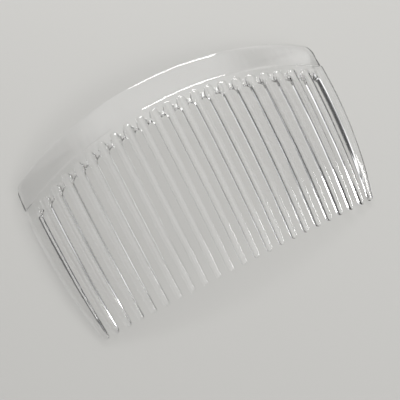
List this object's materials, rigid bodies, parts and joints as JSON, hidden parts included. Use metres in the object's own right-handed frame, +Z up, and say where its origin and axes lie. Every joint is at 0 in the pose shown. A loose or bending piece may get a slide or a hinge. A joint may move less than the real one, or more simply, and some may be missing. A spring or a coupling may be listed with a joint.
{
  "type": "hair side comb",
  "caption": "Curved clear plastic side comb: a crowned band with a row of long rounded teeth that slides into the hair to hold it back.",
  "frame": {"origin": "middle of the comb's length and depth, on the surface it rests on, dome up", "axes": "+X along the tooth row, +Y from the tips to the crowned band, +Z up out of the dome"},
  "size_m": [0.1074, 0.0672, 0.0125],
  "materials": {
    "clear_plastic": "clear, glossy"
  },
  "bodies": {
    "root": {"band": "clear_plastic", "root_rail": "clear_plastic", "end_tooth_left": "clear_plastic", "end_tooth_right": "clear_plastic", "tooth_02": "clear_plastic", "tooth_03": "clear_plastic", "tooth_04": "clear_plastic", "tooth_05": "clear_plastic", "tooth_06": "clear_plastic", "tooth_07": "clear_plastic", "tooth_08": "clear_plastic", "tooth_09": "clear_plastic", "tooth_10": "clear_plastic", "tooth_11": "clear_plastic", "tooth_12": "clear_plastic", "tooth_13": "clear_plastic", "tooth_14": "clear_plastic", "tooth_15": "clear_plastic", "tooth_16": "clear_plastic", "tooth_17": "clear_plastic", "tooth_18": "clear_plastic", "tooth_19": "clear_plastic", "tooth_20": "clear_plastic", "tooth_21": "clear_plastic", "tooth_22": "clear_plastic"}
  },
  "joints": []
}
